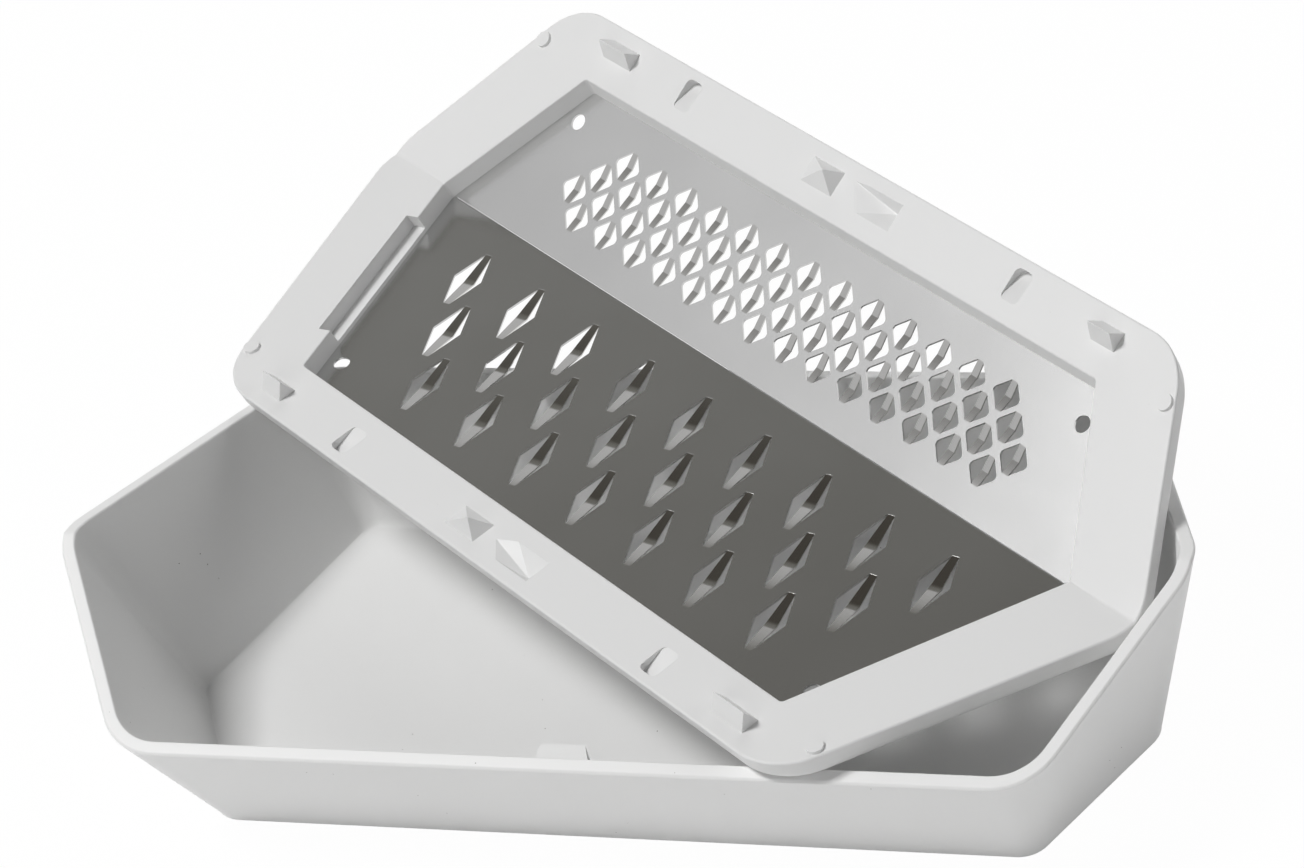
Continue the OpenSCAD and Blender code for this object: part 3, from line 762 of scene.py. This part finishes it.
# %% Flat halves
def half_sheet(side, kind, hole, hole_at):
    deg = radians(NEAR_DEG if side > 0 else FAR_DEG)
    edge = set_in(OPEN_HEX, -SHEET_IN)
    corners = edge[:4] if side > 0 else edge[3:] + edge[:1]
    loops = [[(v.x, v.y / cos(deg)) for v in corners]]
    loops += [placed(hole, c, kind["turn"]) for c in centres(kind, side)]
    loops += [placed(round_hole(HOLE_R), (s * hole_at[0], side * hole_at[1] / cos(deg)))
              for s in (-1, 1)]
    curve = bpy.data.curves.new("half", "CURVE")
    curve.dimensions = "2D"
    curve.fill_mode = "BOTH"
    curve.extrude = SHEET_T / 2 * MM
    for loop in loops:
        line = curve.splines.new("POLY")
        line.points.add(len(loop) - 1)
        for p, (x, y) in zip(line.points, loop):
            p.co = (x * MM, y * MM, 0, 1)
        line.use_cyclic_u = True
    obj = bpy.data.objects.new("half", curve)
    bpy.context.collection.objects.link(obj)
    bpy.context.view_layer.update()
    deps = bpy.context.evaluated_depsgraph_get()
    mesh = bpy.data.meshes.new_from_object(obj.evaluated_get(deps))
    bpy.data.objects.remove(obj, do_unlink=True)
    mesh.transform(slope_matrix(side) @ Matrix.Translation((0, 0, -SHEET_T / 2 * MM)))
    return mesh


sheet_bm = bmesh.new()
sheet_bm.from_mesh(half_sheet(1, FINE, fine_hole(), FINE_HOLE_AT))
sheet_bm.from_mesh(half_sheet(-1, COARSE, coarse_hole(), COARSE_HOLE_AT))
bmesh.ops.remove_doubles(sheet_bm, verts=sheet_bm.verts, dist=WELD * MM)
sheet = lay(mesh_object("Grating_Sheet", sheet_bm, smooth_deg=SMALL_SMOOTH_DEG))
print("sheet faces:", len(sheet.data.polygons))

# %% [markdown]
# ## Straps
# The punch leaves a strap of metal from tip to tip of every opening and presses it down to a
# sharp fold. That is the cutting edge. It repeats 80 times, so Geometry Nodes makes one strap from
# a small grid and places a copy on every point. Along the strap t runs from 0 at the fold to 1 at
# a tip. The strap narrows with t, and rises to the sheet with a soft root.

# %% Strap tree
STRAP_T, STRAP_START, STRAP_ROOT = 0.35, 0.1, 0.35
ROOT_SOFTNESS = 1.12
STRAP_SMOOTH_DEG = 18
STRAP_INPUTS = (("Length", "Float", 0.017), ("Tip width", "Float", 0.0016),
                ("Peak width", "Float", 0.0028), ("Drop", "Float", 0.0011),
                ("Thickness", "Float", STRAP_T * MM), ("Start", "Float", STRAP_START * MM),
                ("Turn", "Vector", None), ("Material", "Material", None))


def strap_tree():
    tree = bpy.data.node_groups.new("straps", "GeometryNodeTree")
    tree.interface.new_socket("Geometry", in_out="INPUT", socket_type="NodeSocketGeometry")
    for label, kind, value in STRAP_INPUTS:
        socket = tree.interface.new_socket(label, in_out="INPUT", socket_type="NodeSocket" + kind)
        if value is not None:
            socket.default_value = value
    tree.interface.new_socket("Geometry", in_out="OUTPUT", socket_type="NodeSocketGeometry")
    gin, gout = tree.nodes.new("NodeGroupInput"), tree.nodes.new("NodeGroupOutput")
    asked = gin.outputs

    def math(op, a, b=None, clamp=False):
        node = add_node(tree, "ShaderNodeMath", operation=op, use_clamp=clamp)
        for socket, v in zip(node.inputs, (a, b)):
            if isinstance(v, (int, float)):
                socket.default_value = v
            elif v is not None:
                tree.links.new(v, socket)
        return node.outputs[0]

    grid = add_node(tree, "GeometryNodeMeshGrid", Vertices_X=3, Vertices_Y=17, Size_X=1.0)
    pos = add_node(tree, "GeometryNodeInputPosition")
    split = add_node(tree, "ShaderNodeSeparateXYZ")
    wire(tree, (asked["Length"], grid.inputs["Size Y"]), (pos.outputs[0], split.inputs[0]))
    t = math("DIVIDE", math("ABSOLUTE", split.outputs["Y"]), math("MULTIPLY", asked["Length"], 0.5), clamp=True)
    gain = math("SUBTRACT", asked["Peak width"], asked["Tip width"])
    width = math("SUBTRACT", asked["Peak width"], math("MULTIPLY", gain, t))
    fall = math("MULTIPLY", math("POWER", math("SUBTRACT", 1.0, t), ROOT_SOFTNESS), asked["Drop"])
    place = add_node(tree, "ShaderNodeCombineXYZ")
    move = add_node(tree, "GeometryNodeSetPosition")
    wire(tree, (math("MULTIPLY", split.outputs["X"], width), place.inputs["X"]),
         (split.outputs["Y"], place.inputs["Y"]),
         (math("SUBTRACT", math("MULTIPLY", fall, -1.0), asked["Start"]), place.inputs["Z"]),
         (grid.outputs["Mesh"], move.inputs["Geometry"]), (place.outputs[0], move.inputs["Position"]))
    # the grid gets a thickness: an extruded copy below, the first face kept above and turned back
    down = add_node(tree, "ShaderNodeCombineXYZ")
    flip = add_node(tree, "GeometryNodeFlipFaces")
    thick = add_node(tree, "GeometryNodeExtrudeMesh", Individual=False)
    join = add_node(tree, "GeometryNodeJoinGeometry")
    weld = add_node(tree, "GeometryNodeMergeByDistance", Distance=WELD * MM)
    wire(tree, (math("MULTIPLY", asked["Thickness"], -1.0), down.inputs["Z"]),
         (move.outputs["Geometry"], flip.inputs["Mesh"]), (flip.outputs["Mesh"], thick.inputs["Mesh"]),
         (down.outputs[0], thick.inputs["Offset"]), (thick.outputs["Mesh"], join.inputs[0]),
         (move.outputs["Geometry"], join.inputs[0]), (join.outputs[0], weld.inputs["Geometry"]))
    # one strap on every point, then plain geometry with its material
    put = add_node(tree, "GeometryNodeInstanceOnPoints")
    turn = add_node(tree, "FunctionNodeEulerToRotation")
    real = add_node(tree, "GeometryNodeRealizeInstances")
    paint = add_node(tree, "GeometryNodeSetMaterial")
    wire(tree, (asked["Geometry"], put.inputs["Points"]), (weld.outputs["Geometry"], put.inputs["Instance"]),
         (asked["Turn"], turn.inputs[0]), (turn.outputs[0], put.inputs["Rotation"]),
         (put.outputs["Instances"], real.inputs["Geometry"]),
         (real.outputs["Geometry"], paint.inputs["Geometry"]),
         (asked["Material"], paint.inputs["Material"]), (paint.outputs["Geometry"], gout.inputs["Geometry"]))
    return tree


STRAPS = strap_tree()
print("strap tree nodes:", len(STRAPS.nodes))

# %% Place the straps
def strap_rows(name, kind, side):
    points = bmesh.new()
    for c in centres(kind, side):
        points.verts.new((c.x * MM, c.y * MM, 0))
    obj = mesh_object(name, points)
    mod = obj.modifiers.new("straps", "NODES")
    mod.node_group = STRAPS
    values = {"Length": 2 * (kind["length"] + STRAP_ROOT) * MM, "Tip width": kind["tip"] * MM,
              "Peak width": kind["peak"] * MM, "Drop": kind["drop"] * MM,
              "Turn": (0, 0, radians(kind["turn"])), "Material": STRAP_STEEL}
    for item in STRAPS.interface.items_tree:
        if item.in_out == "INPUT" and item.name in values:
            mod[item.identifier] = values[item.name]
    bake_modifiers(obj)
    obj.data.transform(slope_matrix(side))
    bm = bmesh.new()
    bm.from_mesh(obj.data)
    mark_sharp(bm, STRAP_SMOOTH_DEG)
    bm.to_mesh(obj.data)
    bm.free()
    return lay(obj)


fine_straps = strap_rows("Fine_Straps", FINE, 1)
coarse_straps = strap_rows("Coarse_Straps", COARSE, -1)
print("strap faces:", len(fine_straps.data.polygons), len(coarse_straps.data.polygons))

# %% [markdown]
# ## Join the parts to their bodies
# Every piece rides on the CAD body it belongs to, takes its finish, and replaces the plainer CAD solid, which
# is hidden. The sheet and its straps are one solid in the CAD model.

# %% Ride, finish, replace
PIECES = ((tray, TRAY_PLASTIC, "tray_plastic", "tray"),
          (frame_obj, FRAME_PLASTIC_PAINTED_SHADE, "frame_plastic", "grater"),
          (sheet, SHEET_STEEL, "sheet_steel", "grater"),
          (fine_straps, STRAP_STEEL, "sheet_steel", "grater"),
          (coarse_straps, STRAP_STEEL, "sheet_steel", "grater"))
for piece, mat, slot, body in PIECES:
    piece.data.materials.clear()
    piece.data.materials.append(mat)
    for f in piece.data.polygons:
        f.material_index = 0
    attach(piece, body)
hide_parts("catch_tray")
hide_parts("grater_frame")
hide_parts("grating_sheet")
print("pieces:", [piece.name for piece, *_ in PIECES])

# %% [markdown]
# ## The floor
# The floor is a pale plane that is white to the camera and to mirrors, but still takes the
# object's shadow.

# %% Floor
FLOOR_SIZE, FLOOR_Z, FLOOR_COLOR, FLOOR_ROUGH = 6, -0.0002, (0.9, 0.9, 0.9), 0.9
WHITE_SHARE = 0.98


def white_to_camera(tree, shader_out):
    """Mix a shader with white light for camera and mirror rays."""
    path = add_node(tree, "ShaderNodeLightPath", (-600, 300))
    glow = add_node(tree, "ShaderNodeEmission", (-300, -200))
    glow.inputs["Strength"].default_value = 1.0
    mix = add_node(tree, "ShaderNodeMixShader", (0, 0))
    some = add_node(tree, "ShaderNodeMath", (-300, 300), operation="MAXIMUM")
    share = add_node(tree, "ShaderNodeMath", (-150, 300), operation="MULTIPLY")
    share.inputs[1].default_value = WHITE_SHARE
    wire(tree, (path.outputs["Is Camera Ray"], some.inputs[0]), (path.outputs["Is Glossy Ray"], some.inputs[1]),
         (some.outputs[0], share.inputs[0]), (share.outputs[0], mix.inputs[0]), (shader_out, mix.inputs[1]),
         (glow.outputs[0], mix.inputs[2]))
    return mix.outputs[0]


bpy.ops.mesh.primitive_plane_add(size=FLOOR_SIZE, location=(0, 0, FLOOR_Z))
plane = bpy.context.object
plane.name = "Floor"
floor_mat, floor_tree, floor_skin = new_material("pale floor")
floor_skin.inputs["Base Color"].default_value = (*FLOOR_COLOR, 1)
floor_skin.inputs["Roughness"].default_value = FLOOR_ROUGH
wire(floor_tree, (white_to_camera(floor_tree, floor_skin.outputs[0]),
                  floor_tree.nodes["Material Output"].inputs["Surface"]))
plane.data.materials.append(floor_mat)
print("floor:", plane.name)

# %% [markdown]
# ## The studio that the steel mirrors
# The world is white to the camera, nearly black to matt surfaces, and a pale studio in mirrors. On
# the far side hangs a dark curtain, which the wide half of the sheet mirrors. It ends above the
# horizon and is deeper at its top. So the two halves of a folded strap mirror different things:
# one the pale wall, the other the deep end.

# %% World
STUDIO, CURTAIN, CURTAIN_TOP = (0.60, 0.60, 0.605), (0.19, 0.187, 0.172), (0.06, 0.053, 0.045)
AMBIENT, WHITE = (0.04, 0.04, 0.04), (1, 1, 1)
CURTAIN_WAY = (-0.30, 0.66, 0.69)
# each pair is where a soft edge starts and ends: round the curtain's middle, at its foot, at its top
CURTAIN_SIDE, CURTAIN_FOOT, CURTAIN_DEEP = (0.80, 0.95), (0.54, 0.59), (0.70, 0.80)

world = bpy.data.worlds.new("studio")
bpy.context.scene.world = world
world.use_nodes = True
wt = world.node_tree


def soft_edge(span, source, at):
    """0 before the span, 1 after it, and a smooth step between."""
    node = add_node(wt, "ShaderNodeMapRange", at, interpolation_type="SMOOTHSTEP",
                    From_Min=span[0], From_Max=span[1])
    wire(wt, (source, node.inputs["Value"]))
    return node.outputs["Result"]


way = add_node(wt, "ShaderNodeTexCoord", (-1200, 0))
toward = add_node(wt, "ShaderNodeVectorMath", (-1000, 0), operation="DOT_PRODUCT")
toward.inputs[1].default_value = Vector(CURTAIN_WAY).normalized()
height = add_node(wt, "ShaderNodeSeparateXYZ", (-1000, -300))
wire(wt, (way.outputs["Generated"], toward.inputs[0]), (way.outputs["Generated"], height.inputs[0]))
curtain = add_node(wt, "ShaderNodeMath", (-650, -150), operation="MULTIPLY")
paths = add_node(wt, "ShaderNodeLightPath", (-1000, 400))
is_high, _, _, cloth = mix_color(wt, (-650, -400), a=CURTAIN, b=CURTAIN_TOP)
is_curtain, _, cloth_in, mirrored = mix_color(wt, (-500, 0), a=STUDIO)
is_gloss, _, gloss_in, lit = mix_color(wt, (-300, 100), a=AMBIENT)
is_camera, lit_in, _, seen = mix_color(wt, (-100, 200), b=WHITE)
back = wt.nodes["Background"]
back.inputs["Strength"].default_value = 1.0
wire(wt, (soft_edge(CURTAIN_SIDE, toward.outputs["Value"], (-800, 0)), curtain.inputs[0]),
     (soft_edge(CURTAIN_FOOT, height.outputs["Z"], (-800, -300)), curtain.inputs[1]),
     (soft_edge(CURTAIN_DEEP, height.outputs["Z"], (-800, -550)), is_high), (cloth, cloth_in),
     (curtain.outputs[0], is_curtain), (mirrored, gloss_in), (paths.outputs["Is Glossy Ray"], is_gloss),
     (lit, lit_in), (paths.outputs["Is Camera Ray"], is_camera), (seen, back.inputs["Color"]))
print("world nodes:", len(wt.nodes))

# %% [markdown]
# ## Lamps
# A small key lamp from the upper left gives the tray's floor its shape and the fine half its
# sheen. Three wide fills lift the walls that face away from it. Each is placed by azimuth and
# elevation in degrees, distance and size in metres, and power in watts.

# %% Lamps
def lamp(name, azimuth, elevation, distance, size, power, mirrored=True):
    """A square lamp aimed at the middle. One that is not mirrored leaves no image in the steel."""
    data = bpy.data.lights.new(name, "AREA")
    data.size = size
    data.energy = power
    obj = bpy.data.objects.new(name, data)
    obj.visible_glossy = mirrored
    bpy.context.collection.objects.link(obj)
    a, e = radians(azimuth), radians(elevation)
    way_out = Vector((cos(e) * cos(a), cos(e) * sin(a), sin(e)))
    obj.location = way_out * distance
    obj.rotation_euler = way_out.to_track_quat("Z", "Y").to_euler()
    return obj


FILL_AWAY = 2.2
lamps = [lamp("key from the left", azimuth=198, elevation=63.6, distance=2.4, size=0.6, power=39),
         lamp("fill from the front", azimuth=262, elevation=26, distance=FILL_AWAY, size=1.4, power=10.8),
         lamp("fill from the back", azimuth=95, elevation=35, distance=FILL_AWAY, size=1.2, power=11,
              mirrored=False),
         lamp("fill from the right", azimuth=12, elevation=22, distance=FILL_AWAY, size=1.0, power=7.3,
              mirrored=False)]
print("lamps:", [l.name for l in lamps])
